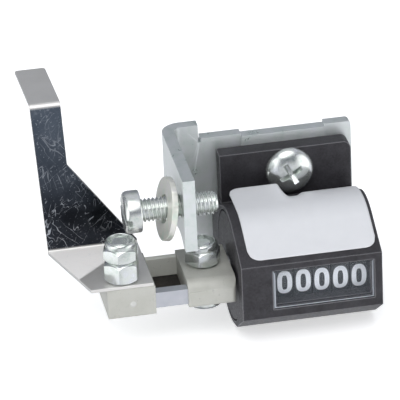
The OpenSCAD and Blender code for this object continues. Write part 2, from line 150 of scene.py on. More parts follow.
def plastic(name, dark, light, r0, r1, grain=5200.0, strength=0.25, spec=0.5, speckle=0.0, edge_highlight=None):
    m, nt, bs, co, out = new_mat(name)
    big = noise(nt, co, 260.0, 5.0)
    mid = noise(nt, co, 1900.0, 3.0, 0.7)
    fine = noise(nt, co, grain, 3.0, 0.6)
    sum_ = nt.nodes.new("ShaderNodeMix")
    sum_.data_type = "FLOAT"
    sum_.inputs["Factor"].default_value = speckle
    nt.links.new(big.outputs["Fac"], sum_.inputs["A"])
    nt.links.new(mid.outputs["Fac"], sum_.inputs["B"])
    c = ramp(nt, sum_.outputs["Result"], [(0.3, dark), (0.72, light)])
    colour = c.outputs["Color"]
    if edge_highlight:
        # painted highlight: sharp outer edges are painted a little lighter, standing in for the light their rounded
        # edges catch
        edge = nt.nodes.new("ShaderNodeBevel")
        edge.samples = 6
        edge.inputs["Radius"].default_value = 0.0005
        geo = nt.nodes.new("ShaderNodeNewGeometry")
        dot = nt.nodes.new("ShaderNodeVectorMath")
        dot.operation = "DOT_PRODUCT"
        nt.links.new(edge.outputs["Normal"], dot.inputs[0])
        nt.links.new(geo.outputs["Normal"], dot.inputs[1])
        sheen_and_wear = span(nt, dot.outputs["Value"], 0.84, 0.985, 1.0, 0.0)
        colour = blend(nt, sheen_and_wear.outputs["Result"], colour, edge_highlight)
    nt.links.new(colour, bs.inputs["Base Color"])
    r = span(nt, mid.outputs["Fac"], 0.3, 0.7, r0, r1)
    nt.links.new(r.outputs["Result"], bs.inputs["Roughness"])
    bs.inputs["Specular IOR Level"].default_value = spec
    h = nt.nodes.new("ShaderNodeMath")
    h.operation = "ADD"
    nt.links.new(fine.outputs["Fac"], h.inputs[0])
    nt.links.new(mid.outputs["Fac"], h.inputs[1])
    bump(nt, bs, h.outputs["Value"], strength, 0.00004)
    return m


def zinc(name, tones, r0, r1, metal=0.85, mottle=500.0, brushed=None, strength=0.05):
    """Bright passivated zinc: faint green, grey and violet patches, fine pits, uneven gloss."""
    m, nt, bs, co, out = new_mat(name)
    bs.inputs["Metallic"].default_value = metal
    big = noise(nt, co, mottle, 5.0, 0.6)
    fine = noise(nt, co, 3800.0, 3.0, 0.62)
    n = len(tones)
    c = ramp(nt, big.outputs["Fac"], [(0.26 + 0.46 * i / (n - 1), t) for i, t in enumerate(tones)])
    nt.links.new(c.outputs["Color"], bs.inputs["Base Color"])
    r = span(nt, big.outputs["Fac"], 0.25, 0.75, r0, r1)
    nt.links.new(r.outputs["Result"], bs.inputs["Roughness"])
    h = fine.outputs["Fac"]
    if brushed is not None:
        line = noise(nt, co, 1100.0, 4.0, 0.6, stretch=brushed)
        mix = nt.nodes.new("ShaderNodeMath")
        mix.operation = "ADD"
        nt.links.new(line.outputs["Fac"], mix.inputs[0])
        nt.links.new(fine.outputs["Fac"], mix.inputs[1])
        h = mix.outputs["Value"]
    bump(nt, bs, h, strength, 0.00003)
    return m


# the last colour is the painted highlight along the moulding's sharp edges
M_BLACK = plastic("black_moulding", (0.012, 0.011, 0.013), (0.050, 0.048, 0.055), 0.34, 0.62, 5200.0, 0.5, 0.36, 0.55, (0.20, 0.197, 0.21))
M_INNER = plastic("inner_plate", (0.03, 0.03, 0.032), (0.05, 0.05, 0.052), 0.5, 0.7)
M_WHEEL = plastic("wheel_black", (0.026, 0.029, 0.033), (0.036, 0.040, 0.045), 0.35, 0.5, strength=0.1)
M_STRIP = plastic("black_strip", (0.014, 0.010, 0.009), (0.030, 0.024, 0.020), 0.6, 0.8)
M_ZINC = zinc("zinc_plate", [(0.63, 0.71, 0.68), (0.74, 0.78, 0.77), (0.775, 0.795, 0.82)], 0.25, 0.38, 0.64,
              300.0, (0.25, 0.25, 1.6), 0.08)
M_SCREW = zinc("zinc_fastener", [(0.60, 0.68, 0.64), (0.76, 0.785, 0.755), (0.78, 0.80, 0.84)], 0.15, 0.29, 0.84, 420.0,
               None, 0.07)
M_NUT = zinc("zinc_nut", [(0.50, 0.58, 0.54), (0.66, 0.69, 0.665), (0.70, 0.72, 0.765)], 0.15, 0.29, 0.86, 420.0,
             None, 0.07)
M_WASHER = zinc("zinc_washer", [(0.62, 0.74, 0.65), (0.80, 0.80, 0.73), (0.82, 0.80, 0.80)], 0.30, 0.44, 0.55, 300.0)
M_STEEL = zinc("plain_steel", [(0.42, 0.43, 0.45), (0.55, 0.56, 0.58)], 0.22, 0.38, 1.0)
M_SPRING = zinc("spring_wire", [(0.33, 0.34, 0.36), (0.45, 0.46, 0.48)], 0.25, 0.4, 1.0)
M_BRASS = zinc("brass", [(0.55, 0.40, 0.17), (0.68, 0.52, 0.26)], 0.2, 0.35, 1.0)
M_BAR = zinc("bar_steel", [(0.52, 0.54, 0.585), (0.60, 0.61, 0.65)], 0.32, 0.45, 0.75, 380.0, (0.15, 1.4, 1.4))


def cast(name, dark, light):
    """Light grey casting: soft clouds, a fine skin and small dull pits."""
    m, nt, bs, co, out = new_mat(name)
    bs.inputs["Metallic"].default_value = 0.12
    big = noise(nt, co, 150.0, 4.0, 0.6)
    mid = noise(nt, co, 1400.0, 4.0, 0.6)
    fine = noise(nt, co, 4200.0, 2.0, 0.5)
    c = ramp(nt, big.outputs["Fac"], [(0.32, dark), (0.7, light)])
    pit = span(nt, mid.outputs["Fac"], 0.30, 0.37, 0.80, 1.0)
    mul = nt.nodes.new("ShaderNodeMix")
    mul.data_type = "RGBA"
    mul.blend_type = "MULTIPLY"
    mul.inputs["Factor"].default_value = 1.0
    nt.links.new(c.outputs["Color"], mul.inputs["A"])
    nt.links.new(pit.outputs["Result"], mul.inputs["B"])
    nt.links.new(mul.outputs["Result"], bs.inputs["Base Color"])
    r = span(nt, mid.outputs["Fac"], 0.3, 0.7, 0.36, 0.52)
    nt.links.new(r.outputs["Result"], bs.inputs["Roughness"])
    add = nt.nodes.new("ShaderNodeMath")
    add.operation = "ADD"
    nt.links.new(mid.outputs["Fac"], add.inputs[0])
    nt.links.new(fine.outputs["Fac"], add.inputs[1])
    bump(nt, bs, add.outputs["Value"], 0.18, 0.00004)
    return m


M_CAST = cast("cast_grey", (0.425, 0.425, 0.385), (0.49, 0.49, 0.455))
# lit copy of the grey casting: the rear bar is painted far lighter, standing in for light on a face that lies in shade
M_CAST_LIT = cast("cast_grey_lit", (0.76, 0.76, 0.69), (0.84, 0.84, 0.78))
# painted glint: the moulded mark is painted lighter than the casting round it
M_MARK_GLINT = cast("cast_mark_glint", (0.52, 0.52, 0.50), (0.60, 0.60, 0.58))
M_LABEL = plastic("white_label", (0.70, 0.708, 0.73), (0.725, 0.733, 0.755), 0.3, 0.42, strength=0.04)
M_DIGIT = plastic("numeral_white", (0.86, 0.89, 0.94), (0.90, 0.93, 0.98), 0.4, 0.5, strength=0.05)


def sheet_metal():
    """Polished sheet: dark blue-black painted reflection and high gloss on the upright, satin on the flats, a painted
    pale reflection on the foot's left, hair scratches, specks.
    """
    m, nt, bs, co, out = new_mat("polished_sheet")
    # the normal in the blade's own space, so that the painted reflection and the finish stay put when the lever turns
    nrm = nt.nodes.new("ShaderNodeSeparateXYZ")
    nt.links.new(co.outputs["Normal"], nrm.inputs["Vector"])
    pos = nt.nodes.new("ShaderNodeSeparateXYZ")
    nt.links.new(co.outputs["Object"], pos.inputs["Vector"])
    # the upright's two faces: level normal along Y, above the foot
    face = joined(nt, "ABSOLUTE", nrm.outputs["Y"], val=0.0)
    face = span(nt, face, 0.80, 0.95, 0.0, 1.0).outputs["Result"]
    above = span(nt, pos.outputs["Z"], -0.0142, -0.0136, 0.0, 1.0).outputs["Result"]
    below = span(nt, pos.outputs["Z"], 0.0245, 0.0250, 1.0, 0.0).outputs["Result"]
    gloss = joined(nt, "MULTIPLY", joined(nt, "MULTIPLY", face, above), below)
    # hair scratches: thin contour lines of warped noise, only in patches
    hair = None
    for k, (scale, width) in enumerate(((260.0, 0.006), (420.0, 0.008), (330.0, 0.007), (520.0, 0.009))):
        n = noise(nt, co, scale, 2.0, 0.45)
        n.inputs["Distortion"].default_value = 0.35
        mp = nt.nodes.new("ShaderNodeMapping")
        mp.vector_type = "TEXTURE"
        mp.inputs["Location"].default_value = (0.013 * k, 0.007 * k, 0.019 * k)
        mp.inputs["Rotation"].default_value = (0.0, 0.9 + 0.55 * k, 0.0)
        mp.inputs["Scale"].default_value = (3.6, 1.0, 1.0)
        nt.links.new(co.outputs["Object"], mp.inputs["Vector"])
        nt.links.new(mp.outputs["Vector"], n.inputs["Vector"])
        d = joined(nt, "ABSOLUTE", joined(nt, "SUBTRACT", n.outputs["Fac"], val=0.5), val=0.0)
        line = span(nt, d, width * 0.4, width, 1.0, 0.0)
        patch = noise(nt, co, 90.0 + 50.0 * k, 3.0, 0.6)
        gate = span(nt, patch.outputs["Fac"], 0.50, 0.62, 0.0, 1.0)
        one = joined(nt, "MULTIPLY", line.outputs["Result"], gate.outputs["Result"])
        hair = one if hair is None else joined(nt, "MAXIMUM", hair, one)
    # denser low down, where the machine part rubs
    low = span(nt, pos.outputs["Z"], -0.013, 0.016, 1.0, 0.45).outputs["Result"]
    hair = joined(nt, "MULTIPLY", hair, low)
    speck = noise(nt, co, 2300.0, 2.0, 0.5)
    sp = span(nt, speck.outputs["Fac"], 0.66, 0.74, 0.0, 0.45).outputs["Result"]
    mark = joined(nt, "MAXIMUM", hair, sp)
    cloud = noise(nt, co, 140.0, 4.0, 0.6)
    # painted reflection: the upright's faces get a dark blue-black base colour, lighter towards the top, standing in
    # for dark surroundings mirrored in the polished sheet
    blue = ramp(nt, cloud.outputs["Fac"], [(0.3, (0.016, 0.018, 0.023)), (0.7, (0.040, 0.045, 0.056))])
    tall = ramp(nt, cloud.outputs["Fac"], [(0.3, (0.074, 0.092, 0.120)), (0.7, (0.112, 0.135, 0.168))])
    height = span(nt, pos.outputs["Z"], -0.004, 0.022, 0.0, 1.0).outputs["Result"]
    painted_dark_reflection = blend(nt, height, blue.outputs["Color"], tall.outputs["Color"])
    satin = ramp(nt, cloud.outputs["Fac"], [(0.3, (0.74, 0.725, 0.70)), (0.7, (0.80, 0.785, 0.76))])
    # painted pale reflection on the foot's left, with a straight edge; there the sheet is also duller: rougher and less
    # metallic
    cut_line = joined(nt, "ADD", joined(nt, "MULTIPLY", pos.outputs["X"], val=-EDGE[0]),
                      joined(nt, "MULTIPLY", pos.outputs["Y"], val=-EDGE[1]))
    dull = span(nt, cut_line, -EDGE[2] - 0.0003, -EDGE[2] + 0.0003, 0.0, 1.0).outputs["Result"]
    foot = span(nt, pos.outputs["Z"], -0.0142, -0.0136, 1.0, 0.0).outputs["Result"]
    up = span(nt, nrm.outputs["Z"], 0.85, 0.97, 0.0, 1.0).outputs["Result"]
    dull = joined(nt, "MULTIPLY", joined(nt, "MULTIPLY", dull, foot), up)
    flat = blend(nt, dull, satin.outputs["Color"], (0.97, 0.945, 0.925))
    base = blend(nt, gloss, flat, painted_dark_reflection)
    scuff = joined(nt, "MULTIPLY", mark, span(nt, gloss, 0.0, 1.0, 0.25, 0.8).outputs["Result"])
    sheen_and_wear = blend(nt, scuff, base, (0.66, 0.69, 0.74))
    nt.links.new(sheen_and_wear, bs.inputs["Base Color"])
    metal = joined(nt, "SUBTRACT", span(nt, gloss, 0.0, 1.0, 0.62, 1.0).outputs["Result"],
                   joined(nt, "MULTIPLY", dull, val=0.5))
    nt.links.new(metal, bs.inputs["Metallic"])
    r0 = joined(nt, "ADD", span(nt, gloss, 0.0, 1.0, 0.33, 0.2).outputs["Result"],
                joined(nt, "MULTIPLY", dull, val=0.35))
    r1 = joined(nt, "ADD", r0, joined(nt, "MULTIPLY", scuff, val=0.4))
    nt.links.new(r1, bs.inputs["Roughness"])
    line = noise(nt, co, 1500.0, 4.0, 0.6, stretch=(0.06, 1.0, 1.0))
    bump(nt, bs, line.outputs["Fac"], 0.05, 0.00002)
    return m


# straight edge of the painted pale reflection on the blade's foot, as a, b, c of a x + b y = c in the row's frame
def edge_line(p, q):
    p, q = P(*p), P(*q)
    n = Vector((q.y - p.y, p.x - q.x)).normalized()
    if n.x < 0:
        n = -n
    return n.x, n.y, n.x * p.x + n.y * p.y


EDGE = edge_line((-38.03, -6.64, 4.7), (-30.67, 0.6, 4.7))
M_SHEET = sheet_metal()


def clear(name, alpha, colour, rough):
    m, nt, bs, co, out = new_mat(name)
    n = noise(nt, co, 900.0, 3.0)
    r = span(nt, n.outputs["Fac"], 0.3, 0.7, rough, rough + 0.03)
    nt.links.new(r.outputs["Result"], bs.inputs["Roughness"])
    bs.inputs["Base Color"].default_value = (*colour, 1.0)
    bs.inputs["Alpha"].default_value = alpha
    bs.inputs["IOR"].default_value = 1.49
    m.surface_render_method = "BLENDED"
    return m


M_CLEAR = clear("clear_window", 0.035, (0.60, 0.66, 0.74), 0.05)
# painted highlight and shade on the window's bevels: the low one bright and nearly opaque, the sides half bright, the
# top dim and dark, after how the light falls on them
M_GLINT_LOW = clear("bevel_low_painted_glint", 0.92, (0.80, 0.85, 0.92), 0.12)
M_GLINT_SIDE = clear("bevel_side_painted_glint", 0.6, (0.70, 0.75, 0.82), 0.12)
M_SHADE_TOP = clear("bevel_top_painted_shade", 0.25, (0.10, 0.11, 0.12), 0.2)

SLOT = {
    "black_moulding": M_BLACK, "inner_plate": M_INNER, "brass": M_BRASS, "clear_window": M_CLEAR,
    "white_label": M_LABEL, "wheel_black": M_WHEEL, "zinc_plate": M_ZINC, "zinc_fastener": M_SCREW,
    "plain_steel": M_STEEL, "spring_wire": M_SPRING, "cast_grey": M_CAST, "bar_steel": M_BAR,
    "black_strip": M_STRIP, "polished_sheet": M_SHEET,
}


def set_mat(o, m):
    o.data.materials.clear()
    o.data.materials.append(m)


for part in frame["record"]["subparts"]:
    set_mat(NODES[part["node"]], SLOT[part["material_slot"]])
set_mat(NODES["frame_washer"], M_WASHER)
# the rear bar gets the lit copy of the casting, with light painted in
set_mat(NODES["arm_bar_rear"], M_CAST_LIT)


# ---------------------------------------------------------------- edges of the CAD nodes
def soften(o, width, segs=2, angle=32.0, flat=True):
    """Small rounded edges, as modifiers only, so the CAD mesh itself is untouched."""
    w = o.modifiers.new("join", "WELD")
    w.merge_threshold = 2e-6
    b = o.modifiers.new("edge", "BEVEL")
    b.width = width * MM
    b.segments = segs
    b.limit_method = "ANGLE"
    b.angle_limit = math.radians(angle)
    b.harden_normals = True
    b.use_clamp_overlap = True
    b.miter_outer = "MITER_ARC"
    if flat:
        n = o.modifiers.new("flat", "WEIGHTED_NORMAL")
        n.mode = "FACE_AREA"
        n.weight = 100
        n.keep_sharp = False
    for p in o.data.polygons:
        p.use_smooth = True


SOFT = {
    "housing": 0.3, "bracket": 0.2, "clamp_block": 0.3, "end_block": 0.3, "left_cap": 0.1,
    "right_cap": 0.2, "frame_washer": 0.18, "arm_bar_front": 0.12, "arm_bar_rear": 0.35,
    "arm_strip": 0.08, "clamp_bolt": 0.12, "blade": 0.14,
}
for n, w in SOFT.items():
    soften(NODES[n], w, flat=n != "clamp_block")


# ---------------------------------------------------------------- mesh helpers
def add(name, verts, faces, mat, body, slot=None, smooth=True, replaces=()):
    me = bpy.data.meshes.new(name)
    me.from_pydata([tuple(v) for v in verts], [], faces)
    me.validate()
    me.update()
    o = bpy.data.objects.new(name, me)
    bpy.context.scene.collection.objects.link(o)
    if mat is not None:
        me.materials.append(mat)
    for p in me.polygons:
        p.use_smooth = smooth
    if replaces:
        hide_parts(*replaces)
    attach(o, body)
    return o


def numeral_strokes(d):
    """Centre lines of a plain numeral, in a box 2 wide and 2 high about its middle."""
    def arc(cx, cy, rx, ry, a0, a1, n=22):
        return [(cx + rx * math.cos(math.radians(a0 + (a1 - a0) * i / n)),
                 cy + ry * math.sin(math.radians(a0 + (a1 - a0) * i / n))) for i in range(n + 1)]

    def oval(cx, cy, rx, ry, k=0.72, n=40):
        pts = []
        for i in range(n + 1):
            t = 2 * math.pi * i / n
            c, s = math.cos(t), math.sin(t)
            pts.append((cx + rx * math.copysign(abs(c) ** k, c), cy + ry * math.copysign(abs(s) ** k, s)))
        return pts

    if d == 0:
        return [oval(0, 0, 1, 1)]
    if d == 1:
        return [[(-0.55, 0.55), (0.15, 1.0), (0.15, -1.0)]]
    if d == 2:
        return [arc(0, 0.45, 1.0, 0.55, 165, -35) + [(-1.0, -1.0), (1.0, -1.0)]]
    if d == 3:
        return [arc(-0.05, 0.5, 0.95, 0.5, 150, -90), arc(-0.05, -0.5, 1.05, 0.5, 90, -150)]
    if d == 4:
        return [[(0.45, -1.0), (0.45, 1.0), (-1.0, -0.35), (1.05, -0.35)]]
    if d == 5:
        return [[(0.9, 1.0), (-0.8, 1.0), (-0.9, 0.15)] + arc(-0.05, -0.38, 1.0, 0.62, 125, -150)]
    if d == 6:
        return [oval(0, -0.4, 1.0, 0.6, 0.85), [(-1.0, -0.4), (-0.85, 0.35), (-0.3, 0.9), (0.45, 1.0)]]
    if d == 7:
        return [[(-1.0, 1.0), (1.0, 1.0), (-0.15, -1.0)]]
    if d == 8:
        return [oval(0, 0.52, 0.85, 0.48, 0.9), oval(0, -0.48, 1.0, 0.52, 0.9)]
    return [oval(0, 0.4, 1.0, 0.6, 0.85), [(1.0, 0.4), (0.85, -0.35), (0.3, -0.9), (-0.45, -1.0)]]


def ribbon(line, half):
    """A flat band of constant width along a 2D line, with mitred corners."""
    n = len(line)
    closed = math.dist(line[0], line[-1]) < 1e-6
    left, right = [], []
    for i in range(n):
        a = line[i - 1] if i > 0 else (line[-2] if closed else None)
        b = line[i + 1] if i < n - 1 else (line[1] if closed else None)
        p = line[i]
        ds = []
        if a is not None:
            l = math.dist(a, p)
            ds.append(((p[0] - a[0]) / l, (p[1] - a[1]) / l))
        if b is not None:
            l = math.dist(b, p)
            ds.append(((b[0] - p[0]) / l, (b[1] - p[1]) / l))
        dx = sum(q[0] for q in ds)
        dy = sum(q[1] for q in ds)
        l = math.hypot(dx, dy)
        dx, dy = dx / l, dy / l
        c = max(0.5, dx * ds[0][0] + dy * ds[0][1])
        h = half / c
        left.append((p[0] - dy * h, p[1] + dx * h))
        right.append((p[0] + dy * h, p[1] - dx * h))
    return left, right


def numerals(i):
    """The ten numerals on one number wheel, raised a hair above its rim."""
    xc = 11.45 + (i - 1) * 4.65
    r = 12.8
    # the wheels aren't printed quite alike, so the row of numbers isn't dead level
    late = math.radians((0.0, 0.5, 1.5, 1.9, 2.3)[i - 1])
    verts, faces = [], []
    for d in range(10):
        lift = 0.02
        for line in numeral_strokes(d):
            pts = [(u * 1.28, v * 2.52) for u, v in line]
            # even steps, so that the band follows the curved rim
            fine = [pts[0]]
            for a, b in zip(pts[:-1], pts[1:]):
                k = max(1, int(math.dist(a, b) / 0.45))
                fine += [(a[0] + (b[0] - a[0]) * j / k, a[1] + (b[1] - a[1]) * j / k) for j in range(1, k + 1)]
            left, right = ribbon(fine, 0.59)
            base = len(verts)
            for (lu, lv), (ru, rv) in zip(left, right):
                for u, v in ((lu, lv), (ru, rv)):
                    ang = math.radians(36.0 * d) + v / r - late
                    verts.append(P(xc + u, -(r + lift) * math.cos(ang), (r + lift) * math.sin(ang)))
            for k in range(len(left) - 1):
                q = base + 2 * k
                faces.append((q, q + 2, q + 3, q + 1))
            lift += 0.006
    o = add("numerals_%d" % i, verts, faces, M_DIGIT, "wheel_%d" % i, "wheel_black", smooth=True)
    return o


for i in range(1, 6):
    numerals(i)


# ---------------------------------------------------------------- helpers for solid pieces
def baked(o):
    """The object with its modifiers applied, as a plain mesh."""
    dg = bpy.context.evaluated_depsgraph_get()
    me = bpy.data.meshes.new_from_object(o.evaluated_get(dg))
    o.modifiers.clear()
    old = o.data
    o.data = me
    bpy.data.meshes.remove(old)
    return o


def raw(name, verts, faces):
    me = bpy.data.meshes.new(name)
    me.from_pydata([tuple(v) for v in verts], [], faces)
    me.validate()
    me.update()
    o = bpy.data.objects.new(name, me)
    bpy.context.scene.collection.objects.link(o)
    return o


def finish_piece(o, mat, body, replaces=(), angle=35.0):
    o.data.materials.clear()
    o.data.materials.append(mat)
    o.data.shade_smooth()
    o.data.set_sharp_from_angle(angle=math.radians(angle))
    if replaces:
        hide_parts(*replaces)
    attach(o, body)
    return o


def lathe_x(profile, y, z, n=72):
    """Closed round body about an axis along X: profile is (x, r) from one end to the other."""
    verts, faces = [], []
    rings = []
    for x, r in profile:
        if r < 1e-6:
            verts.append(P(x, y, z))
            rings.append([len(verts) - 1])
        else:
            i0 = len(verts)
            for k in range(n):
                a = 2 * math.pi * k / n
                verts.append(P(x, y + r * math.cos(a), z + r * math.sin(a)))
            rings.append(list(range(i0, i0 + n)))
    for A, B in zip(rings[:-1], rings[1:]):
        for k in range(n):
            j = (k + 1) % n
            if len(A) == 1 and len(B) == 1:
                continue
            if len(A) == 1:
                faces.append((A[0], B[k], B[j]))
            elif len(B) == 1:
                faces.append((A[k], B[0], A[j]))
            else:
                faces.append((A[k], B[k], B[j], A[j]))
    return verts, faces


def cut(o, verts, faces):
    """Removes a closed cutter from o."""
    c = raw("cutter", verts, faces)
    m = o.modifiers.new("cut", "BOOLEAN")
    m.operation = "DIFFERENCE"
    m.solver = "EXACT"
    m.object = c
    baked(o)
    me = c.data
    bpy.data.objects.remove(c)
    bpy.data.meshes.remove(me)


# ---------------------------------------------------------------- frame screw with its real thread
SY, SZ = -2.3, 19.0


def frame_screw():
    R = 5.3
    prof = [(-25.95, 0), (-25.95, R - 1.3), (-25.93, R - 1.05), (-25.85, R - 0.82), (-25.74, R - 0.58),
            (-25.6, R - 0.4), (-25.4, R - 0.24), (-25.2, R - 0.15), (-24.9, R - 0.06), (-24.5, R), (-22.2, R),
            (-22.02, R - 0.04), (-21.9, R - 0.14), (-21.85, R - 0.34), (-21.85, 0)]
    v, f = lathe_x(prof, SY, SZ, 96)
    head = raw("frame_screw_head", v, f)
    a = math.radians(8.0)
    w, d = 0.8, 1.5
    box = []
    for x in (-27.5, -25.95 + d):
        for yy in (-7.0, 7.0):
            for zz in (-w, w):
                box.append(P(x, SY + yy * math.cos(a) - zz * math.sin(a), SZ + yy * math.sin(a) + zz * math.cos(a)))
    fs = [(0, 1, 3, 2), (4, 6, 7, 5), (0, 2, 6, 4), (1, 5, 7, 3), (0, 4, 5, 1), (2, 3, 7, 6)]
    cut(head, box, fs)
    bv = head.modifiers.new("edge", "BEVEL")
    bv.width = 0.12 * MM
    bv.segments = 2
    bv.limit_method = "ANGLE"
    bv.angle_limit = math.radians(50)
    baked(head)
    finish_piece(head, M_SCREW, "counter", ("frame_screw",), 30)

    # right-hand thread, pitch 1: a grid that follows the helix, closed at both ends
    x0, x1, pitch, n = -22.0, -2.75, 1.0, 40
    step = 0.1
    m = int(round((x1 - x0) / step))
    verts, faces = [], []

    def radius(x, a):
        t = ((x - a / (2 * math.pi) * pitch) / pitch) % 1.0
        tri = 1.0 - abs(2.0 * t - 1.0)
        flank = min(1.0, max(0.0, (tri - 0.10) / 0.74))
        r = 2.42 + 0.53 * flank
        end = x1 - x
        if end < 1.1:
            r = min(r, 2.3 + 0.6 * end)
        return r

    for i in range(m + 1):
        x = x0 + (x1 - x0) * i / m
        for k in range(n):
            a = 2 * math.pi * k / n
            r = radius(x, a)
            verts.append(P(x, SY + r * math.cos(a), SZ + r * math.sin(a)))
    for i in range(m):
        for k in range(n):
            j = (k + 1) % n
            faces.append((i * n + k, (i + 1) * n + k, (i + 1) * n + j, i * n + j))
    c0, c1 = len(verts), len(verts) + 1
    verts.append(P(x0, SY, SZ))
    verts.append(P(x1, SY, SZ))
    for k in range(n):
        j = (k + 1) % n
        faces.append((c0, k, j))
        faces.append((c1, m * n + j, m * n + k))
    t = raw("frame_screw_thread", verts, faces)
    finish_piece(t, M_SCREW, "counter", (), 60)


frame_screw()


# ---------------------------------------------------------------- label, lifted off the barrel at its left rear
def label():
    R = 14.93
    A = Vector((-15.78, 8.57))
    T = Vector((-R * 0.452, R * 0.892))
    slope = (T - A).length
    total = slope + 18.6
    x0, x1 = 2.4, 34.2
    cr = 3.0
    nx, ns = 70, 84

    def smooth(t):
        t = min(1.0, max(0.0, t))
        return t * t * (3 - 2 * t)

    def profile(x):
        """Points along the sheet at this x, from the front edge back."""
        lift = 0.98 - 0.93 * smooth((x - 14.7) / 2.6) + 0.26 * smooth((x - 18.7) / 2.6)
        tang = math.atan2(0.452, 0.892)
        d = (T - A).normalized()
        ang = math.atan2(d.y, d.x)
        n = 400
        ds = total / n
        p = A.copy()
        pts = [p.copy()]
        for i in range(n):
            s = (i + 0.5) * ds
            if s >= slope:
                if s - ds < slope:
                    ang = tang
                lifted = smooth((s - slope - 5.6) / 2.6)
                k = (1.0 / R) * (1.0 - lifted * lift)
                ang -= k * ds
            p = p + Vector((math.cos(ang), math.sin(ang))) * ds
            pts.append(p.copy())
        return pts

    verts, faces = [], []
    grid = {}
    for i in range(nx + 1):
        x = x0 + (x1 - x0) * i / nx
        e = min(x - x0, x1 - x)
        inset = 0.0 if e >= cr else cr - math.sqrt(max(0.0, cr * cr - (cr - e) ** 2))
        prof = profile(x)
        a, b = inset, total - inset
        for j in range(ns + 1):
            s = a + (b - a) * j / ns
            q = s / total * (len(prof) - 1)
            k = min(len(prof) - 2, int(q))
            p = prof[k].lerp(prof[k + 1], q - k)
            grid[i, j] = len(verts)
            verts.append(P(x, p.x, p.y))
    for i in range(nx):
        for j in range(ns):
            faces.append((grid[i, j], grid[i + 1, j], grid[i + 1, j + 1], grid[i, j + 1]))
    o = raw("white_label", verts, faces)
    sol = o.modifiers.new("sheet", "SOLIDIFY")
    sol.thickness = 0.11 * MM
    sol.offset = -1.0
    finish_piece(o, M_LABEL, "counter", ("label",), 50)


label()


# ---------------------------------------------------------------- bevelled rim of the clear window
def lens_rim():
    """The four bevels of the window, laid a hair over the clear block's own, each with its painted highlight or shade:
    bright low, half-bright sides, dark top.
    """
    x0, x1, z0, z1 = 7.7, 33.0, -4.6, 5.9
    y, b, h = -17.3, 0.6, 0.006
    outer = [(x0, z0), (x1, z0), (x1, z1), (x0, z1)]
    inner = [(x0 + b, z0 + b), (x1 - b, z0 + b), (x1 - b, z1 - b), (x0 + b, z1 - b)]
    n = 24
    for k, (name, mat) in enumerate((("window_bevel_low", M_GLINT_LOW), ("window_bevel_right", M_GLINT_SIDE),
                                     ("window_bevel_top", M_SHADE_TOP), ("window_bevel_left", M_GLINT_SIDE))):
        verts, faces = [], []
        (ax, az), (bx, bz) = outer[k], outer[(k + 1) % 4]
        (cx, cz), (dx, dz) = inner[k], inner[(k + 1) % 4]
        for i in range(n + 1):
            t = i / n
            verts.append(P(ax + (bx - ax) * t, y + b - h, az + (bz - az) * t))
            verts.append(P(cx + (dx - cx) * t, y, cz + (dz - cz) * t))
        for i in range(n):
            q = 2 * i
            faces.append((q, q + 2, q + 3, q + 1))
        finish_piece(raw(name, verts, faces), mat, "counter")


lens_rim()


# ---------------------------------------------------------------- nuts with turned corners and a rolled collar
def lathe_z(profile, cx, cy, n=72):
    """Closed round body about an upright axis: profile is (r, z), starting and ending on the axis or closed."""
    verts, faces, rings = [], [], []
    for r, z in profile:
        if r < 1e-6:
            verts.append(P(cx, cy, z))
            rings.append([len(verts) - 1])
        else:
            i0 = len(verts)
            for k in range(n):
                a = 2 * math.pi * k / n
                verts.append(P(cx + r * math.cos(a), cy + r * math.sin(a), z))
            rings.append(list(range(i0, i0 + n)))
    closed = profile[0][0] > 1e-6
    pairs = list(zip(rings, rings[1:] + ([rings[0]] if closed else [])))
    for A, B in pairs:
        for k in range(n):
            j = (k + 1) % n
            if len(A) == 1 and len(B) > 1:
                faces.append((A[0], B[j], B[k]))
            elif len(B) == 1 and len(A) > 1:
                faces.append((A[k], A[j], B[0]))
            elif len(A) > 1:
                faces.append((A[k], A[j], B[j], B[k]))
    return verts, faces


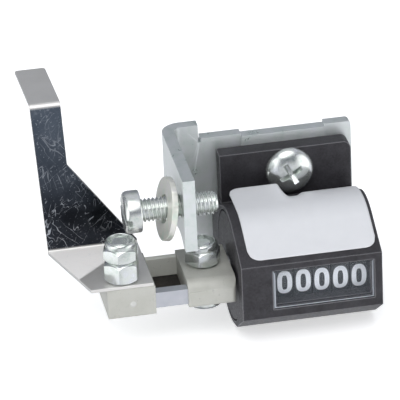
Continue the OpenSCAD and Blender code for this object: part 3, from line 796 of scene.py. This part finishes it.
def nut(name, node, cx, cy, z0, hex_h, turn, body, collar=0.0, both=True):
    af = 8.0
    rc = af / 2 / math.cos(math.radians(30))
    rf = 3.5
    hexagon, faces = [], []
    for z in (z0, z0 + hex_h):
        for k in range(6):
            a = math.radians(turn + 60 * k)
            hexagon.append(P(cx + rc * math.cos(a), cy + rc * math.sin(a), z))
    faces = [(5, 4, 3, 2, 1, 0), (6, 7, 8, 9, 10, 11)] + [(k, (k + 1) % 6, 6 + (k + 1) % 6, 6 + k) for k in range(6)]
    o = raw(name, hexagon, faces)
    c = rc + 0.06 - rf
    prof = [(0, z0 - 0.001), (rf, z0 - 0.001), (rc + 0.06, z0 + c * 0.8), (rc + 0.06, z0 + hex_h - c * 0.8),
            (rf, z0 + hex_h + 0.001), (0, z0 + hex_h + 0.001)]
    v, fcs = lathe_z(prof, cx, cy, 96)
    turned = raw("turned", v, fcs)
    md = o.modifiers.new("turned", "BOOLEAN")
    md.operation = "INTERSECT"
    md.solver = "EXACT"
    md.object = turned
    baked(o)
    me = turned.data
    bpy.data.objects.remove(turned)
    bpy.data.meshes.remove(me)
    # threaded bore
    v, fcs = lathe_z([(0, z0 - 1), (2.5, z0 - 1), (2.5, z0 + hex_h + 1), (0, z0 + hex_h + 1)], cx, cy, 48)
    cut(o, v, fcs)
    bv = o.modifiers.new("edge", "BEVEL")
    bv.width = 0.1 * MM
    bv.segments = 2
    bv.limit_method = "ANGLE"
    bv.angle_limit = math.radians(25)
    baked(o)
    finish_piece(o, M_NUT, body, (node,), 24)
    if collar:
        t = z0 + hex_h + collar
        b = z0 + hex_h - 0.25
        prof = [(2.75, b), (3.72, b), (3.80, b + 0.2), (3.80, t - 0.85), (3.74, t - 0.55), (3.58, t - 0.30),
                (3.40, t - 0.12), (3.22, t - 0.02), (3.12, t), (3.04, t - 0.05), (3.0, t - 0.16), (3.0, t - 1.1),
                (2.9, t - 1.2), (2.62, t - 1.22), (2.62, b)]
        v, fcs = lathe_z(prof, cx, cy, 72)
        finish_piece(raw(name + "_collar", v, fcs), M_NUT, body, (), 60)
    return o


nut("blade_nut_piece", "blade_nut", -28.05, -9.3, 4.7, 5.5, 74, "lever")
nut("blade_locknut_piece", "blade_locknut", -28.05, -9.3, 10.2, 3.95, 73, "lever", 1.45)
nut("clamp_nut_piece", "clamp_nut", -7.0, -3.4, 3.5, 4.35, 70, "lever", 1.65)


# ---------------------------------------------------------------- flange screw: domed head with a cross recess
def flange_screw():
    cx, cy, cz = 19.15, 16.7, 15.9
    n = 96
    prof = [(0.0, 0.25), (3.0, 0.25), (5.7, 0.02), (5.95, 0.1), (6.0, 0.3), (6.0, 0.62), (5.93, 0.95), (5.75, 1.32), (5.45, 1.68),
            (5.05, 2.02), (4.55, 2.33), (4.0, 2.6), (3.4, 2.83), (2.8, 3.02), (2.2, 3.17), (1.5, 3.29), (0.8, 3.36),
            (0.0, 3.385)]
    verts, faces, rings = [], [], []
    for r, h in prof:
        if r < 1e-6:
            verts.append(P(cx, cy - h, cz))
            rings.append([len(verts) - 1])
        else:
            i0 = len(verts)
            for k in range(n):
                a = 2 * math.pi * k / n
                verts.append(P(cx + r * math.cos(a), cy - h, cz + r * math.sin(a)))
            rings.append(list(range(i0, i0 + n)))
    for A, B in zip(rings[:-1], rings[1:]):
        for k in range(n):
            j = (k + 1) % n
            if len(A) == 1:
                faces.append((A[0], B[k], B[j]))
            elif len(B) == 1:
                faces.append((A[k], B[0], A[j]))
            else:
                faces.append((A[k], B[k], B[j], A[j]))
    o = raw("flange_screw_head", verts, faces)
    bm = bmesh.new()
    bm.from_mesh(o.data)
    bmesh.ops.recalc_face_normals(bm, faces=bm.faces)
    bm.to_mesh(o.data)
    bm.free()
    turn = math.radians(28.0)

    def box(l0, w0, l1, w1, h0, h1, a):
        """Tapered wing: half length and half width at depth height h0, and at h1."""
        vs = []
        for (l, w, h) in ((l0, w0, h0), (l1, w1, h1)):
            for su, sv in ((-1, -1), (1, -1), (1, 1), (-1, 1)):
                u, v = su * l, sv * w
                vs.append(P(cx + u * math.cos(a) - v * math.sin(a), cy - h, cz + u * math.sin(a) + v * math.cos(a)))
        return vs, [(0, 3, 2, 1), (4, 5, 6, 7), (0, 1, 5, 4), (1, 2, 6, 5), (2, 3, 7, 6), (3, 0, 4, 7)]

    for a in (turn, turn + math.pi / 2):
        cut(o, *box(1.5, 0.32, 3.6, 0.72, 0.9, 3.7, a))
    vs, fs, m = [], [], 32
    for r, h in ((0.7, 1.0), (2.35, 3.7)):
        for k in range(m):
            a = 2 * math.pi * k / m
            vs.append(P(cx + r * math.cos(a), cy - h, cz + r * math.sin(a)))
    fs = [tuple(range(m)), tuple(range(2 * m - 1, m - 1, -1))] + [(k, m + k, m + (k + 1) % m, (k + 1) % m) for k in range(m)]
    cut(o, vs, fs)
    bv = o.modifiers.new("edge", "BEVEL")
    bv.width = 0.09 * MM
    bv.segments = 2
    bv.limit_method = "ANGLE"
    bv.angle_limit = math.radians(38)
    baked(o)
    finish_piece(o, M_SCREW, "counter", ("flange_screw",), 35)
    # shank through the flange into the pad
    v, fcs = [], []
    for h in (-0.5, 6.95):
        for k in range(48):
            a = 2 * math.pi * k / 48
            v.append(P(cx + 2.97 * math.cos(a), cy + h, cz + 2.97 * math.sin(a)))
    fcs = [tuple(range(48)), tuple(range(95, 47, -1))] + [(k, 48 + k, 48 + (k + 1) % 48, (k + 1) % 48) for k in range(48)]
    finish_piece(raw("flange_screw_shank", v, fcs), M_SCREW, "counter", (), 40)


flange_screw()


# ---------------------------------------------------------------- small moulded mark on the end block's front, painted lighter as a glint
def block_mark():
    verts, faces = [], []
    n, rings = 28, 6
    cx, cz, y, r, h = -26.2, -0.5, -13.3, 0.8, 0.3
    verts.append(P(cx, y - h, cz))
    for i in range(1, rings + 1):
        t = i / rings
        hh = -h * math.cos(t * math.pi / 2)
        for k in range(n):
            a = 2 * math.pi * k / n
            verts.append(P(cx + r * t * math.cos(a), y + hh + (0.02 if i == rings else 0), cz + r * t * math.sin(a)))
    for k in range(n):
        faces.append((0, 1 + k, 1 + (k + 1) % n))
    for i in range(rings - 1):
        for k in range(n):
            j = (k + 1) % n
            a = 1 + i * n
            faces.append((a + k, a + n + k, a + n + j, a + j))
    o = raw("end_block_mark", verts, faces)
    finish_piece(o, M_MARK_GLINT, "lever")


block_mark()

# ---------------------------------------------------------------- camera, floor and light
cam_d = bpy.data.cameras.new("camera")
cam = bpy.data.objects.new("camera", cam_d)
bpy.context.scene.collection.objects.link(cam)
R = Vector((0.9822, -0.1834, -0.0406))
U = Vector((0.1183, 0.4357, 0.8923))
D = Vector((0.1460, 0.8812, -0.4496))
m = Matrix.Identity(4)
for k in range(3):
    m[k][0], m[k][1], m[k][2] = R[k], U[k], -D[k]
m.translation = P(-146.65, -846.13, 450.54)
cam.matrix_world = m
cam_d.sensor_width = 36.0
cam_d.sensor_fit = "HORIZONTAL"
cam_d.lens = 353.4
cam_d.clip_start = 0.01
cam_d.clip_end = 100.0
bpy.context.scene.camera = cam


def floor():
    m, nt, bs, co, out = new_mat("floor")
    n = noise(nt, co, 6.0, 3.0)
    c = ramp(nt, n.outputs["Fac"], [(0.3, (0.93, 0.93, 0.93)), (0.7, (0.95, 0.95, 0.95))])
    nt.links.new(c.outputs["Color"], bs.inputs["Base Color"])
    bs.inputs["Roughness"].default_value = 0.9
    bs.inputs["Specular IOR Level"].default_value = 0.1
    nt.links.new(c.outputs["Color"], bs.inputs["Emission Color"])
    bs.inputs["Emission Strength"].default_value = 0.56
    z = CAD_BOX[0][2] - 0.0004
    me = bpy.data.meshes.new("floor")
    s = 20.0
    me.from_pydata([(-s, -s, z), (s, -s, z), (s, s, z), (-s, s, z)], [], [(0, 1, 2, 3)])
    me.materials.append(m)
    o = bpy.data.objects.new("floor", me)
    bpy.context.scene.collection.objects.link(o)
    o.visible_glossy = False


floor()

world = bpy.data.worlds.new("studio")
bpy.context.scene.world = world
world.use_nodes = True


def studio(base, lobes):
    """Soft boxes round the object: each lobe is (direction, inner angle, outer angle, strength)."""
    nt = world.node_tree
    bg = nt.nodes["Background"]
    co = nt.nodes.new("ShaderNodeTexCoord")
    total = None
    for axis, inner, outer, power in lobes:
        dot = nt.nodes.new("ShaderNodeVectorMath")
        dot.operation = "DOT_PRODUCT"
        dot.inputs[1].default_value = Vector(axis).normalized()
        nt.links.new(co.outputs["Generated"], dot.inputs[0])
        r = nt.nodes.new("ShaderNodeMapRange")
        r.interpolation_type = "SMOOTHSTEP"
        r.inputs["From Min"].default_value = math.cos(math.radians(outer))
        r.inputs["From Max"].default_value = math.cos(math.radians(inner))
        r.inputs["To Min"].default_value = 0.0
        r.inputs["To Max"].default_value = power
        nt.links.new(dot.outputs["Value"], r.inputs["Value"])
        if total is None:
            ad = nt.nodes.new("ShaderNodeMath")
            ad.operation = "ADD"
            ad.inputs[1].default_value = base
            nt.links.new(r.outputs["Result"], ad.inputs[0])
        else:
            ad = nt.nodes.new("ShaderNodeMath")
            ad.operation = "ADD"
            nt.links.new(total.outputs["Value"], ad.inputs[0])
            nt.links.new(r.outputs["Result"], ad.inputs[1])
        total = ad
    nt.links.new(total.outputs["Value"], bg.inputs["Strength"])
    bg.inputs["Color"].default_value = (1.0, 1.0, 1.0, 1.0)
    sky = nt.nodes.new("ShaderNodeBackground")
    sky.inputs["Color"].default_value = (0.55, 0.70, 1.0, 1.0)
    sky.inputs["Strength"].default_value = 0.10
    both = nt.nodes.new("ShaderNodeAddShader")
    nt.links.new(bg.outputs["Background"], both.inputs[0])
    nt.links.new(sky.outputs["Background"], both.inputs[1])
    nt.links.new(both.outputs["Shader"], nt.nodes["World Output"].inputs["Surface"])


studio(0.0, [
    ((-0.80, -0.56, 0.20), 16, 34, 1.6),
    ((0.80, -0.58, 0.15), 14, 32, 1.35),
    ((-0.10, -0.50, 0.86), 15, 36, 1.7),
    ((0.0, 0.1, 1.0), 20, 60, 0.42),
    ((0.0, 0.85, 0.5), 25, 60, 0.10),
    ((0.05, 0.72, -0.70), 15, 45, 0.75),
    ((-1.0, 0.1, -0.05), 15, 50, 0.5),
    ((1.0, 0.1, 0.05), 15, 50, 0.45),
    ((0.13, -0.86, -0.5), 22, 50, 0.72),
    ((-0.87, -0.15, -0.45), 15, 40, 0.8),
    ((0.83, -0.35, -0.45), 15, 40, 0.5),
])


def sun(name, direction, strength, angle):
    d = bpy.data.lights.new(name, "SUN")
    d.energy = strength
    d.angle = math.radians(angle)
    o = bpy.data.objects.new(name, d)
    o.rotation_euler = Vector(direction).to_track_quat("-Z", "Y").to_euler()
    bpy.context.scene.collection.objects.link(o)
    return o


sun("key", (0.22, 0.62, -0.75), 0.35, 20)
vs = bpy.context.scene.view_settings
vs.view_transform = "Standard"
vs.look = "None"
